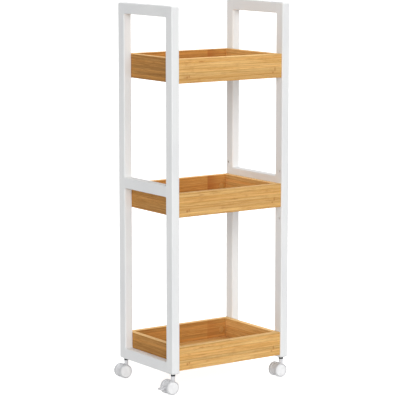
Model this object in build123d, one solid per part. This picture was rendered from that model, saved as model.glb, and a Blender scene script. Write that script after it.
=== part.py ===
from build123d import *
import os
from math import cos, radians, sin

# Slim three-tier kitchen trolley. Two white lacquered ladder frames stand left and right,
# three open bamboo trays hang between them, and a twin-wheel caster is under each post.
# Millimetres. The origin is on the floor under the middle of the frames.
# +X is to the right, +Y to the back and +Z up. At rest every caster trails towards -X.

# ---- driving dimensions: side frames ----
frame_width = 320.0
frame_depth = 217.0
frame_height = 815.0
frame_lift = 45.0
post_thickness = 20.0
post_depth = 25.0
rail_height = 25.0
middle_rail_rise = 408.5
edge_radius = 2.5
opening_corner_radius = 3.0
outer_corner_radius = 4.0

# ---- driving dimensions: trays ----
tray_height = 54.0
tray_recess = 2.5
panel_thickness = 12.0
panel_edge_radius = 0.9
tray_levels = {"lower": 51.5, "middle": 396.0, "upper": 691.0}
middle_tray_step = 54.0
floor_thickness = 5.0
floor_rise = 4.2
groove_depth = 5.0
groove_play = 0.1
floor_play = 0.3

# ---- driving dimensions: wooden dowels ----
dowel_diameter = 6.0
dowel_length = 26.0
dowel_spread = 6.0
low_dowel_spread = 5.0
small_dowel_diameter = 5.0
small_dowel_length = 20.0
small_dowel_heights = (18.0, 40.0)
dowel_play = 0.05
dowel_end_play = 0.5

# ---- driving dimensions: cam fittings between trays and posts ----
cam_setback = 24.0
cam_diameter = 12.0
cam_depth = 9.5
cam_play = 0.1
cam_slot_room = 0.3
bolt_hole_radius = 2.5
bolt_hole_depth = 11.5
bolt_thread_length = 11.0
bolt_thread_radius = 2.45
bolt_shaft_radius = 2.2
bolt_neck_radius = 1.5
bolt_head_radius = 2.8
bolt_head_length = 3.0
bolt_shaft_length = 17.5
bolt_bore_radius = 2.5
cover_diameter = 13.4
cover_thickness = 0.9
cover_spigot_radius = 1.9
cover_spigot_length = 2.5

# ---- driving dimensions: casters ----
wheel_radius = 16.0
wheel_inner_face = 7.3
wheel_outer_face = 14.8
wheel_hub_face = 7.1
wheel_hub_radius = 5.7
wheel_disc_inner = 12.0
wheel_rim_inner_radius = 13.2
wheel_dish_radius = 12.6
wheel_dish_depth = 0.6
wheel_edge_radius = 1.3
axle_radius = 2.0
axle_half_length = 12.8
axle_end_play = 0.25
axle_chamfer = 0.3
running_play = 0.05
trail = 9.0
hood_radius = 15.2
hood_half_width = 6.8
hood_wall = 2.0
cheek_inner = 4.6
hood_edge_radius = 0.8
hood_rear_angle = 38.0
hood_front_angle = 20.0
gusset_thickness = 3.0
gusset_lap = 0.6
gusset_drop = 4.0
gusset_rise = 6.0
stem_end_play = 0.5
clip_chamber_rise = 2.6
clip_chamber_height = 1.8
clip_chamber_play = 0.8
axle_hole_play = 0.005
boss_radius = 4.8
boss_top = 38.8
nut_across_flats = 10.0
nut_height = 5.0
washer_thickness = 0.8
washer_radius = 5.4
stem_thread_radius = 2.95
stem_pin_radius = 2.5
stem_thread_length = 12.0
stem_thread_lead = 0.8
stem_bottom = 22.5
stem_shoulder = 39.0
clip_groove_rise = 3.0
clip_groove_width = 1.0
clip_groove_depth = 0.5
clip_thickness = 0.8
clip_play = 0.1
clip_gap = 1.4
nut_corner_cut = 0.6
nut_cone_rise = 0.5
insert_radius = 4.0
insert_length = 13.0

# ---- driving dimensions: foot brake ----
brake_pivot = (-19.0, 20.5)
brake_pin_radius = 1.4
brake_hub_radius = 1.9
brake_half_width = 4.2
shoe_centre = (-17.6, 11.6)
shoe_radius = 1.5
shoe_half_length = 10.4
pedal_start = 27.6
pedal_tip = 37.2
pedal_half_width = 7.0
pedal_start_span = (14.4, 17.4)
pedal_tip_span = (13.4, 15.9)
pedal_corner_radius = 2.5
arm_points = (
    (-21.2, 20.1),
    (-28.1, 17.4),
    (-28.1, 14.6),
    (-22.5, 15.0),
    (-19.0, 11.6),
    (-16.4, 11.6),
    (-16.8, 19.5),
)
trunnion_setback = 0.3
lever_slot_x = (-27.0, -20.0)
lever_slot_z = (11.5, 20.8)
shoe_window_x = (-20.0, -13.6)
shoe_window_z = (9.0, 14.3)
braked_casters = ("front_left", "rear_right")

# ---- derived places ----
frame_top = frame_lift + frame_height
frame_inner = frame_width / 2 - post_thickness
post_centre_x = frame_width / 2 - post_thickness / 2
opening_half = frame_depth / 2 - post_depth
post_centre_y = frame_depth / 2 - post_depth / 2
rail_centres = {
    "bottom": frame_lift + rail_height / 2,
    "middle": frame_lift + middle_rail_rise,
    "top": frame_top - rail_height / 2,
}
panel_outer = frame_depth / 2 - tray_recess
panel_inner = panel_outer - panel_thickness
panel_middle = panel_outer - panel_thickness / 2
side_panel_inner = frame_inner - panel_thickness
cam_x = frame_inner - cam_setback
wheel_centre = (-trail, wheel_radius)
corners = {
    "front_left": (-1, -1),
    "rear_left": (-1, 1),
    "front_right": (1, -1),
    "rear_right": (1, 1),
}


def block(x_span, y_span, z_span):
    """Box between two limits along each axis."""
    spans = [sorted(span) for span in (x_span, y_span, z_span)]
    size = [high - low for low, high in spans]
    centre = [(high + low) / 2 for low, high in spans]
    return Pos(*centre) * Box(*size)


def rod(start, axis, length, radius):
    """Cylinder from a start point along an axis."""
    return extrude(Plane(origin=start, z_dir=axis) * Circle(radius), length)


def group(pieces):
    """Loose pieces kept as separate solids in one node."""
    return Compound(children=[solid for piece in pieces for solid in piece.solids()])


# ---- side frames ----
def rail_dowel_offsets(rail):
    """Places of a rail's two dowels in its end face, as (x, z) offsets from the rail's centre."""
    if rail == "bottom":
        return ((-low_dowel_spread, dowel_spread), (low_dowel_spread, dowel_spread))
    return ((0, -dowel_spread), (0, dowel_spread))


def frame_dowels(side, radius, half_length):
    """The dowels across every rail joint of one frame, or their holes."""
    made = []
    for rail, height in rail_centres.items():
        for end in (-1, 1):
            for dx, dz in rail_dowel_offsets(rail):
                start = (side * post_centre_x + dx, end * opening_half - half_length, height + dz)
                made.append(rod(start, (0, 1, 0), 2 * half_length, radius))
    return made


def ladder_frame(side):
    """One whole side frame before it is parted: outline, two windows and rounded-over edges."""
    window_half = opening_half
    half_rail = rail_height / 2
    windows = (
        (rail_centres["bottom"] + half_rail, rail_centres["middle"] - half_rail),
        (rail_centres["middle"] + half_rail, rail_centres["top"] - half_rail),
    )
    outline = Pos(0, (frame_lift + frame_top) / 2) * RectangleRounded(
        frame_depth, frame_height, outer_corner_radius
    )
    for low, high in windows:
        outline -= Pos(0, (low + high) / 2) * RectangleRounded(
            2 * window_half, high - low, opening_corner_radius
        )
    plane = Plane(origin=(side * post_centre_x, 0, 0), x_dir=(0, 1, 0), z_dir=(1, 0, 0))
    body = extrude(plane * outline, post_thickness / 2, both=True)
    faces = body.faces().filter_by(Axis.X)
    rims = [edge for face in faces for edge in face.edges()]
    return fillet(rims, edge_radius)


def post_holes(side):
    """Bolt holes in the inner faces: one height for the outer trays, three for the middle one."""
    heights = [level + tray_height / 2 for level in tray_levels.values()]
    middle = tray_levels["middle"] + tray_height / 2
    heights += [middle - middle_tray_step, middle + middle_tray_step]
    made = []
    for height in heights:
        for end in (-1, 1):
            start = (side * frame_inner, end * panel_middle, height)
            made.append(rod(start, (side, 0, 0), bolt_hole_depth, bolt_hole_radius))
    return made


def insert_holes(side):
    """Sockets for the threaded caster inserts in the undersides of the posts."""
    made = []
    for end in (-1, 1):
        start = (side * post_centre_x, end * post_centre_y, frame_lift)
        made.append(rod(start, (0, 0, 1), insert_length + dowel_end_play, insert_radius + dowel_play))
    return made


def side_frame(side):
    """The five pieces of one side frame, parted where the rails butt against the posts."""
    body = ladder_frame(side)
    hole_radius = dowel_diameter / 2 + dowel_play
    body -= frame_dowels(side, hole_radius, dowel_length / 2 + dowel_end_play)
    body -= post_holes(side)
    body -= insert_holes(side)
    name = "left" if side < 0 else "right"
    x_span = (side * (frame_inner - 1), side * (frame_width / 2 + 1))
    z_span = (frame_lift - 1, frame_top + 1)
    pieces = {}
    for place, end in (("front", -1), ("rear", 1)):
        y_span = (end * opening_half, end * (frame_depth / 2 + 1))
        pieces[f"{name}_{place}_post"] = body & block(x_span, y_span, z_span)
    reach = rail_height / 2 + opening_corner_radius + 1
    for rail, height in rail_centres.items():
        cell = block(x_span, (-opening_half, opening_half), (height - reach, height + reach))
        pieces[f"{name}_{rail}_rail"] = body & cell
    return pieces


# ---- trays ----
def cam_places(level):
    """Every cam of one tray: side, end and the height of its axis."""
    height = level + tray_height / 2
    return [(side, end, height) for side in (-1, 1) for end in (-1, 1)]


def floor_groove(level):
    """The groove round the inside of a tray that holds its floor panel."""
    half_x = side_panel_inner + groove_depth
    half_y = panel_inner + groove_depth
    low = level + floor_rise - groove_play
    high = level + floor_rise + floor_thickness + groove_play
    return block((-half_x, half_x), (-half_y, half_y), (low, high))


def tray_dowels(level, radius, play):
    """The small dowels that join a tray's walls at its four corners, or their holes."""
    made = []
    length = small_dowel_length + 2 * play
    for side in (-1, 1):
        for end in (-1, 1):
            for rise in small_dowel_heights:
                x = side * (frame_inner - panel_thickness / 2)
                middle = end * (panel_inner - 1)
                start = (x, middle - length / 2, level + rise)
                made.append(rod(start, (0, 1, 0), length, radius))
    return made


def cam_pockets(level):
    """The round pocket for each cam and the bore for its bolt, in a tray's long walls."""
    made = []
    for side, end, height in cam_places(level):
        pocket_start = (side * cam_x, end * panel_inner, height)
        made.append(rod(pocket_start, (0, end, 0), cam_depth, cam_diameter / 2))
        bore_start = (side * frame_inner, end * panel_middle, height)
        made.append(rod(bore_start, (-side, 0, 0), cam_setback, bolt_bore_radius))
    return made


def rounded_board(x_span, y_span, z_span):
    """A board with all its edges lightly rounded."""
    board = block(x_span, y_span, z_span)
    return fillet(board.edges(), panel_edge_radius)


def tray(name, level):
    """The five boards of one tray."""
    z_span = (level, level + tray_height)
    groove = floor_groove(level)
    dowel_holes = tray_dowels(level, small_dowel_diameter / 2 + dowel_play, dowel_end_play)
    pockets = cam_pockets(level)
    pieces = {}
    for place, end in (("front", -1), ("back", 1)):
        y_span = (end * panel_inner, end * panel_outer)
        wall = rounded_board((-frame_inner, frame_inner), y_span, z_span)
        pieces[f"{name}_tray_{place}"] = wall - groove - dowel_holes - pockets
    for place, side in (("left", -1), ("right", 1)):
        x_span = (side * side_panel_inner, side * frame_inner)
        wall = rounded_board(x_span, (-panel_inner, panel_inner), z_span)
        pieces[f"{name}_tray_{place}"] = wall - groove - dowel_holes
    half_x = side_panel_inner + groove_depth - floor_play
    half_y = panel_inner + groove_depth - floor_play
    low = level + floor_rise
    pieces[f"{name}_tray_floor"] = block(
        (-half_x, half_x), (-half_y, half_y), (low, low + floor_thickness)
    )
    return pieces


# ---- cam fittings ----
def cam_bolt(side, end, height):
    """Steel bolt screwed into the post, with its head inside the cam."""
    profile = Polyline(
        (0, -bolt_thread_length),
        (bolt_thread_radius, -bolt_thread_length),
        (bolt_thread_radius, 0),
        (bolt_shaft_radius, 0),
        (bolt_shaft_radius, bolt_shaft_length),
        (bolt_neck_radius, bolt_shaft_length),
        (bolt_neck_radius, cam_setback),
        (bolt_head_radius, cam_setback),
        (bolt_head_radius, cam_setback + bolt_head_length),
        (0, cam_setback + bolt_head_length),
        close=True,
    )
    plane = Plane(
        origin=(side * frame_inner, end * panel_middle, height), x_dir=(0, 1, 0), z_dir=(0, 0, side)
    )
    face = plane * make_face(profile)
    return revolve(face, Axis((side * frame_inner, end * panel_middle, height), (side, 0, 0)))


def cam_lock(side, end, height):
    """Zinc cam that grips the bolt's head and pulls the tray against the post."""
    depth = cam_depth - 2 * cam_play
    start = (side * cam_x, end * (panel_inner + cam_play), height)
    body = rod(start, (0, end, 0), depth, cam_diameter / 2 - cam_play)
    reach = cam_diameter
    head_room = bolt_head_radius + cam_slot_room
    neck_room = bolt_neck_radius + cam_slot_room
    y_open = end * (panel_inner + cam_depth)
    head_x = side * (cam_x + cam_play)
    body -= block(
        (side * (cam_x - reach), head_x),
        (end * (panel_middle - head_room), y_open),
        (height - head_room, height + head_room),
    )
    body -= block(
        (side * cam_x, side * (cam_x + reach)),
        (end * (panel_middle - neck_room), y_open),
        (height - neck_room, height + neck_room),
    )
    socket = rod(start, (0, end, 0), cover_spigot_length + cam_play, cover_spigot_radius + cam_play)
    return body - socket


def cam_cover(side, end, height):
    """Thin moulded cap over a cam, with a spigot in the cam's socket."""
    start = (side * cam_x, end * panel_inner, height)
    disc = rod(start, (0, -end, 0), cover_thickness, cover_diameter / 2)
    rim = disc.edges().group_by(Axis.Y)[0 if end > 0 else -1]
    disc = fillet(rim, cover_thickness / 2)
    return disc + rod(start, (0, end, 0), cover_spigot_length, cover_spigot_radius)


# ---- casters ----
def at_caster(piece, corner):
    """Move a caster piece from its own stem axis to a corner of the frame."""
    side, end = corners[corner]
    return Pos(side * post_centre_x, end * post_centre_y, 0) * piece


def turned(points):
    """Solid of revolution about the Z axis from (radius, height) points."""
    return revolve(Plane.XZ * make_face(Polyline(*points, close=True)), Axis.Z)


def caster_insert():
    """Threaded sleeve in the underside of a post."""
    sleeve = rod((0, 0, frame_lift), (0, 0, 1), insert_length, insert_radius)
    return sleeve - rod((0, 0, frame_lift), (0, 0, 1), insert_length, stem_thread_radius + running_play)


def caster_stem():
    """Steel stem: thread in the insert, plain pin in the hood's boss, groove for the clip."""
    thread_top = frame_lift + stem_thread_length
    groove_radius = stem_pin_radius - clip_groove_depth
    groove_low = stem_bottom + clip_groove_rise
    groove_high = groove_low + clip_groove_width
    return turned(
        [
            (0, stem_bottom),
            (groove_radius, stem_bottom),
            (stem_pin_radius, stem_bottom + clip_groove_depth),
            (stem_pin_radius, groove_low),
            (groove_radius, groove_low),
            (groove_radius, groove_high),
            (stem_pin_radius, groove_high),
            (stem_pin_radius, stem_shoulder),
            (stem_thread_radius, stem_shoulder),
            (stem_thread_radius, thread_top - stem_thread_lead),
            (stem_thread_radius - stem_thread_lead, thread_top),
            (0, thread_top),
        ]
    )


def caster_nut():
    """Hexagon nut that locks the stem against the frame."""
    low = frame_lift - nut_height
    hexagon = Plane.XY.offset(low) * RegularPolygon(nut_across_flats / 2, 6, major_radius=False)
    nut = extrude(hexagon, nut_height)
    corner_radius = nut_across_flats / 2 / cos(radians(30))
    clear_radius = corner_radius + 0.1
    cone = turned(
        [
            (0, low),
            (corner_radius - nut_corner_cut, low),
            (clear_radius, low + nut_cone_rise),
            (clear_radius, frame_lift),
            (0, frame_lift),
        ]
    )
    return (nut & cone) - rod((0, 0, low), (0, 0, 1), nut_height, stem_thread_radius + running_play)


def caster_washer():
    """Nylon thrust washer between the nut and the boss."""
    low = frame_lift - nut_height - washer_thickness
    washer = rod((0, 0, low), (0, 0, 1), washer_thickness, washer_radius)
    return washer - rod((0, 0, low), (0, 0, 1), washer_thickness, stem_thread_radius + running_play)


def stem_clip():
    """Split spring ring in the stem's groove that keeps the hood on."""
    low = stem_bottom + clip_groove_rise + clip_play
    inner_radius = stem_pin_radius - clip_groove_depth + clip_play
    outer_radius = stem_pin_radius + clip_groove_depth
    ring = rod((0, 0, low), (0, 0, 1), clip_thickness, outer_radius)
    ring -= rod((0, 0, low), (0, 0, 1), clip_thickness, inner_radius)
    gap = block((0, 2 * outer_radius), (-clip_gap / 2, clip_gap / 2), (low, low + clip_thickness))
    return ring - gap


def hood_sector():
    """Lower limit of the hood: everything above a line from its rear lip to its front lip."""
    rear = radians(hood_rear_angle)
    front = radians(hood_front_angle)
    x, z = wheel_centre
    reach = hood_radius + 1
    rear_lip = (x - reach * cos(rear), z - reach * sin(rear))
    front_lip = (x + reach * cos(front), z - reach * sin(front))
    top = boss_top + 1
    right = front_lip[0] + 2
    corners_xz = [rear_lip, front_lip, (right, front_lip[1]), (right, top), (rear_lip[0] - 5, top)]
    corners_xz.append((rear_lip[0] - 5, rear_lip[1]))
    face = make_face(Polyline(*corners_xz, close=True))
    return extrude(Plane.XZ * face, hood_half_width + 1, both=True)


def wheel_axis_rod(radius, half_length):
    """Cylinder on the wheels' axis."""
    start = (wheel_centre[0], -half_length, wheel_centre[1])
    return rod(start, (0, 1, 0), 2 * half_length, radius)


def caster_hood(braked):
    """Moulded body: arched cover between the wheels, two cheeks, axle boss and stem boss."""
    drum = wheel_axis_rod(hood_radius, hood_half_width)
    drum = fillet(drum.edges().filter_by(GeomType.CIRCLE), hood_edge_radius)
    shell = drum & hood_sector()
    boss = rod((0, 0, wheel_centre[1]), (0, 0, 1), boss_top - wheel_centre[1], boss_radius)
    hollow = wheel_axis_rod(hood_radius - hood_wall, cheek_inner)
    column = rod((0, 0, 0), (0, 0, 1), boss_top, boss_radius)
    shell -= hollow - column
    shell += boss
    shell += wheel_axis_rod(2 * axle_radius, cheek_inner)
    web_top = wheel_centre[1] + hood_radius
    gusset = make_face(
        Polyline(
            (wheel_centre[0] + 1, web_top - gusset_lap),
            (0, boss_top - gusset_drop),
            (0, wheel_centre[1] + gusset_rise),
            close=True,
        )
    )
    gusset_solid = extrude(Plane.XZ * gusset, gusset_thickness / 2, both=True)
    shell += gusset_solid - wheel_axis_rod(hood_radius - hood_wall, cheek_inner)
    bore_radius = stem_pin_radius + running_play
    shell -= rod((0, 0, stem_bottom - stem_end_play), (0, 0, 1), boss_top, bore_radius)
    chamber_low = (0, 0, stem_bottom + clip_chamber_rise)
    shell -= rod(chamber_low, (0, 0, 1), clip_chamber_height, stem_pin_radius + clip_chamber_play)
    shell -= wheel_axis_rod(axle_radius + axle_hole_play, hood_half_width + 1)
    if braked:
        shell -= brake_openings()
    return shell


def brake_openings():
    """Rear slot for the lever, side windows for the shoe and the pivot holes."""
    pivot_x, pivot_z = brake_pivot
    reach = hood_half_width + 1
    slot = block(lever_slot_x, (-cheek_inner, cheek_inner), lever_slot_z)
    window = block(shoe_window_x, (-reach, reach), shoe_window_z)
    pivot = rod(
        (pivot_x, -reach, pivot_z), (0, 1, 0), 2 * reach, brake_pin_radius + running_play
    )
    return [slot, window, pivot]


def caster_axle():
    """Plain steel axle pressed through the hood."""
    return chamfer(wheel_axis_rod(axle_radius, axle_half_length).edges(), axle_chamfer)


def caster_wheel(end):
    """One nylon wheel: tread rim, dished outer disc and a hub with a blind bore."""
    face = wheel_outer_face
    dish = face - wheel_dish_depth
    round_off = wheel_edge_radius
    profile = Polyline(
        (axle_radius + running_play, wheel_hub_face),
        (wheel_hub_radius, wheel_hub_face),
        (wheel_hub_radius, wheel_disc_inner),
        (wheel_rim_inner_radius, wheel_disc_inner),
        (wheel_rim_inner_radius, wheel_inner_face),
        (wheel_radius, wheel_inner_face),
        (wheel_radius, face),
        (wheel_dish_radius + wheel_dish_depth, face),
        (wheel_dish_radius, dish),
        (0, dish),
        (0, axle_half_length + axle_end_play),
        (axle_radius + running_play, axle_half_length + axle_end_play),
        close=True,
    )
    section = make_face(profile)
    tread_corners = [v for v in section.vertices() if abs(v.X - wheel_radius) < 0.01]
    section = fillet(tread_corners, round_off)
    plane = Plane(
        origin=(wheel_centre[0], 0, wheel_centre[1]), x_dir=(1, 0, 0), z_dir=(0, 0, -end)
    )
    return revolve(plane * section, Axis((wheel_centre[0], 0, wheel_centre[1]), (0, 1, 0)))


def brake_lever():
    """Foot pedal, arm, pivot trunnions and the cross shoe that bears on both wheel hubs."""
    pivot_x, pivot_z = brake_pivot
    shoe_x, shoe_z = shoe_centre
    hub = rod((pivot_x, -brake_half_width, pivot_z), (0, 1, 0), 2 * brake_half_width, brake_hub_radius)
    trunnion_half = hood_half_width - trunnion_setback
    trunnions = rod(
        (pivot_x, -trunnion_half, pivot_z), (0, 1, 0), 2 * trunnion_half, brake_pin_radius
    )
    arm = make_face(Polyline(*arm_points, close=True))
    arm_solid = extrude(Plane.XZ * arm, brake_half_width, both=True)
    shoe = rod((shoe_x, -shoe_half_length, shoe_z), (0, 1, 0), 2 * shoe_half_length, shoe_radius)
    pedal_face = make_face(
        Polyline(
            (-pedal_start, pedal_start_span[1]),
            (-pedal_tip, pedal_tip_span[1]),
            (-pedal_tip, pedal_tip_span[0]),
            (-pedal_start, pedal_start_span[0]),
            close=True,
        )
    )
    pedal = extrude(Plane.XZ * pedal_face, pedal_half_width, both=True)
    tip_corners = pedal.edges().filter_by(Axis.Z).group_by(Axis.X)[0]
    pedal = fillet(tip_corners, pedal_corner_radius)
    return hub + trunnions + arm_solid + shoe + pedal


# ---- assembly ----
def all_nodes():
    """Every node of the cart, name to shape."""
    nodes = {}
    for side in (-1, 1):
        nodes.update(side_frame(side))
    both_sides = [
        dowel
        for side in (-1, 1)
        for dowel in frame_dowels(side, dowel_diameter / 2, dowel_length / 2)
    ]
    nodes["frame_dowels"] = group(both_sides)
    cams = []
    corner_dowels = []
    for name, level in tray_levels.items():
        nodes.update(tray(name, level))
        corner_dowels += tray_dowels(level, small_dowel_diameter / 2, 0)
        cams += cam_places(level)
    nodes["tray_dowels"] = group(corner_dowels)
    nodes["cam_bolts"] = group([cam_bolt(*place) for place in cams])
    nodes["cam_locks"] = group([cam_lock(*place) for place in cams])
    nodes["cam_covers"] = group([cam_cover(*place) for place in cams])
    shared = {
        "caster_inserts": caster_insert,
        "caster_stems": caster_stem,
        "caster_nuts": caster_nut,
        "caster_washers": caster_washer,
        "stem_clips": stem_clip,
    }
    for name, maker in shared.items():
        nodes[name] = group([at_caster(maker(), corner) for corner in corners])
    for corner in corners:
        braked = corner in braked_casters
        nodes[f"{corner}_caster_hood"] = at_caster(caster_hood(braked), corner)
        nodes[f"{corner}_caster_axle"] = at_caster(caster_axle(), corner)
        for number, end in ((1, -1), (2, 1)):
            nodes[f"{corner}_caster_wheel_{number}"] = at_caster(caster_wheel(end), corner)
        if braked:
            nodes[f"{corner}_brake_lever"] = at_caster(brake_lever(), corner)
    return nodes


os.makedirs("parts", exist_ok=True)
for node_name, shape in all_nodes().items():
    export_step(shape, f"parts/{node_name}.step")
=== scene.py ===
"""Looks of a slim rolling kitchen cart: white ladder frames, bamboo trays and nylon casters.

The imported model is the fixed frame. Boards, posts, hoods and hidden fittings keep their CAD
shapes and get their finishes here. Wheels, nuts, washers, cam covers and the small ribs and
liners are made here and stand for, or sit on, their CAD nodes.
Lengths in the dataclasses are millimetres unless they say otherwise.
"""

import logging
import math
from collections.abc import Iterable, Sequence
from dataclasses import KW_ONLY, dataclass, field
from enum import Enum
from typing import Any, ClassVar

import bmesh
import bpy
from bpy.types import Material, Mesh, Node, NodeSocket, NodeTree, Object
from mathutils import Matrix, Vector


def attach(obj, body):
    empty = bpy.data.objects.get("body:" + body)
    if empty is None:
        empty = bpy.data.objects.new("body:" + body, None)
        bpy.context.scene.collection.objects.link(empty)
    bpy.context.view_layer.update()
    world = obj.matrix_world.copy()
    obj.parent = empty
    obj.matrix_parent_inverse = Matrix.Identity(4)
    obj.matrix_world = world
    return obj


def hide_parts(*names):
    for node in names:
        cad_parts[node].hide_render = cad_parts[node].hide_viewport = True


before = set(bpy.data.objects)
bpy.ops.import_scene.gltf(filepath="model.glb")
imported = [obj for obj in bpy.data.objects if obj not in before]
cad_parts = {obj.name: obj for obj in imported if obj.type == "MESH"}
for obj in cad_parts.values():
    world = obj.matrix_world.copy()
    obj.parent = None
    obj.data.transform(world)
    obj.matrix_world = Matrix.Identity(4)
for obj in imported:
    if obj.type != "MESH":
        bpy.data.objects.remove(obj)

MM = 0.001
LOG = logging.getLogger("rolling_cart")
Point = tuple[float, float]
Place = tuple[float, float, float]
# a pattern's two values between which it fades, and how much it gives at each
Fade = tuple[float, float, float, float]

# a geometry tree's named inputs: each one's label, the field that fills it and its unit
Inputs = tuple[tuple[str, str, float], ...]
# a pattern's patch size, detail and warp
Patch = tuple[Place, float, float]
# patterns, each with its patch size, detail, warp and, where it colours, its fade
Patterns = tuple[tuple[Place, float, float, Fade | None], ...]
# a finish's colour, gloss pattern and height pattern
Painted = tuple[NodeSocket, NodeSocket, NodeSocket | Node]

# settings that many nodes share
SMOOTH = {"interpolation_type": "SMOOTHSTEP"}
BLEND = {"data_type": "RGBA", "clamp_factor": True}
ADD, SUBTRACT, MULTIPLY, DIVIDE, MULTIPLY_ADD, MAXIMUM, FLOOR, PINGPONG, LENGTH = (
    {"operation": word}
    for word in (
        "ADD", "SUBTRACT", "MULTIPLY", "DIVIDE", "MULTIPLY_ADD", "MAXIMUM", "FLOOR", "PINGPONG",
        "LENGTH",
    )
)


def linear(code: str) -> tuple[float, float, float, float]:
    """Turn an sRGB hex colour into linear values.

    Args:
        code: The colour as "#rrggbb".

    Returns:
        Red, green, blue and an alpha of one, linear.
    """
    channels = [int(code[i : i + 2], 16) / 255 for i in (1, 3, 5)]
    bright = [c / 12.92 if c <= 0.04045 else ((c + 0.055) / 1.055) ** 2.4 for c in channels]
    return (*bright, 1.0)


def add_node(
    tree: NodeTree,
    kind: str,
    settings: dict[str, Any] | None = None,
    inputs: dict[str | int, Any] | Sequence[Any] = (),
) -> Node:
    """Add one node with its settings and links.

    Args:
        tree: The shader or geometry tree that gets the node.
        kind: Blender's type name of the node.
        settings: Properties to set on the node.
        inputs: Input name or number to a value, to the output socket that feeds it, or to a
            node whose first output does. A plain sequence fills the inputs from the first on.

    Returns:
        The new node.
    """
    node = tree.nodes.new(kind)
    for name, value in (settings or {}).items():
        setattr(node, name, value)
    for key, value in inputs.items() if isinstance(inputs, dict) else enumerate(inputs):
        if isinstance(value, Node):
            value = value.outputs[0]
        if isinstance(value, NodeSocket):
            tree.links.new(value, node.inputs[key])
        else:
            node.inputs[key].default_value = value
    return node


class Run(Enum):
    """Which way a piece's grain runs: the object axes along, across and through it."""

    ALONG_X_UPRIGHT = ("X", "Z", "Y")
    ALONG_Y_UPRIGHT = ("Y", "Z", "X")
    ALONG_X_FLAT = ("X", "Y", "Z")
    ALONG_Z = ("Z", "Y", "X")


class Side(Enum):
    """Left or right of the cart, as the sign of X."""

    LEFT = -1
    RIGHT = 1


class Corner(Enum):
    """A corner of the cart, as the signs of X and Y."""

    FRONT_LEFT = (-1, -1)
    REAR_LEFT = (-1, 1)
    FRONT_RIGHT = (1, -1)
    REAR_RIGHT = (1, 1)

    @property
    def word(self) -> str:
        """Give the corner's name as the CAD nodes have it.

        Returns:
            The name.
        """
        return self.name.lower()


# ---- finishes ----
@dataclass(frozen=True)
class Finish:
    """What every finish has: one shader with a colour, a gloss and a relief pattern."""

    name: str
    run: Run = Run.ALONG_X_FLAT
    # where the pattern starts, along, across and through
    start: Place = (0.0, 0.0, 0.0)
    _: KW_ONLY
    # the part of the gloss pattern that counts, and the roughness at its two ends
    gloss_reach: Point = (0.3, 0.7)
    roughness: Point = (0.4, 0.5)
    relief_mm: float = 0.012
    # uniform values of the shader
    fixed: tuple[tuple[str, float], ...] = ()

    def material(self) -> Material:
        """Build the material.

        Returns:
            The material.
        """
        made = bpy.data.materials.new(self.name)
        made.use_nodes = True
        tree = made.node_tree
        tree.nodes.clear()
        colour, gloss, height = self.paint(tree, self.millimetres(tree))
        limits = (gloss, *self.gloss_reach, *self.roughness)
        bump = {"Height": height, "Distance": self.relief_mm * MM, "Strength": 1.0}
        values = {
            "Base Color": colour,
            "Roughness": add_node(tree, "ShaderNodeMapRange", SMOOTH, limits),
            "Normal": add_node(tree, "ShaderNodeBump", inputs=bump),
            **dict(self.fixed),
        }
        shader = add_node(tree, "ShaderNodeBsdfPrincipled", inputs=values)
        add_node(tree, "ShaderNodeOutputMaterial", inputs={"Surface": shader})
        return made

    def paint(self, tree: NodeTree, where: Sequence[Node]) -> Painted:
        """Draw the finish's patterns. Each kind of finish has its own.

        Args:
            tree: The material's tree.
            where: The coordinates along, across and through, in millimetres.

        Returns:
            The colour, the gloss pattern and the height pattern.
        """
        raise NotImplementedError

    def millimetres(self, tree: NodeTree) -> list[Node]:
        """Read a piece's own coordinates in millimetres, turned to its grain.

        Args:
            tree: The material's tree.

        Returns:
            The three coordinates, along, across and through.
        """
        where = add_node(tree, "ShaderNodeTexCoord")
        parts = add_node(tree, "ShaderNodeSeparateXYZ", inputs=(where.outputs["Object"],)).outputs
        return [
            add_node(tree, "ShaderNodeMath", MULTIPLY_ADD, (parts[axis], 1 / MM, -start))
            for axis, start in zip(self.run.value, self.start)
        ]

    def stretched_noise(
        self, tree: NodeTree, where: Sequence[Node], sizes: Place, detail: float, warp: float
    ) -> NodeSocket:
        """Make noise whose patches have a given length, width and depth.

        Args:
            tree: The material's tree.
            where: The three coordinates in millimetres.
            sizes: The patch size along each of them, in millimetres.
            detail: How many finer layers it has.
            warp: How much the patches are bent.

        Returns:
            The noise, about 0.5 on average.
        """
        joined = add_node(tree, "ShaderNodeCombineXYZ", inputs=where)
        shrink = tuple(1 / size for size in sizes)
        scaled = add_node(tree, "ShaderNodeVectorMath", MULTIPLY, (joined, shrink))
        values = {"Vector": scaled, "Scale": 1.0, "Detail": detail, "Distortion": warp}
        return add_node(tree, "ShaderNodeTexNoise", {"normalize": True}, values).outputs["Fac"]

    def laid_over(
        self,
        tree: NodeTree,
        colour: str | NodeSocket,
        tone: str,
        pattern: NodeSocket | Node,
        fade: Fade,
    ) -> NodeSocket:
        """Lay a tone over a colour, as strongly as a pattern says.

        Args:
            tree: The material's tree.
            colour: What lies below, as a hex colour or a socket.
            tone: The hex colour that is laid over it.
            pattern: What says how much of it there is.
            fade: How the pattern's values turn into that amount.

        Returns:
            The new colour.
        """
        amount = add_node(tree, "ShaderNodeMapRange", SMOOTH, (pattern, *fade))
        under = linear(colour) if isinstance(colour, str) else colour
        values = {0: amount, 6: under, 7: linear(tone)}
        return add_node(tree, "ShaderNodeMix", BLEND, values).outputs[2]


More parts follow.
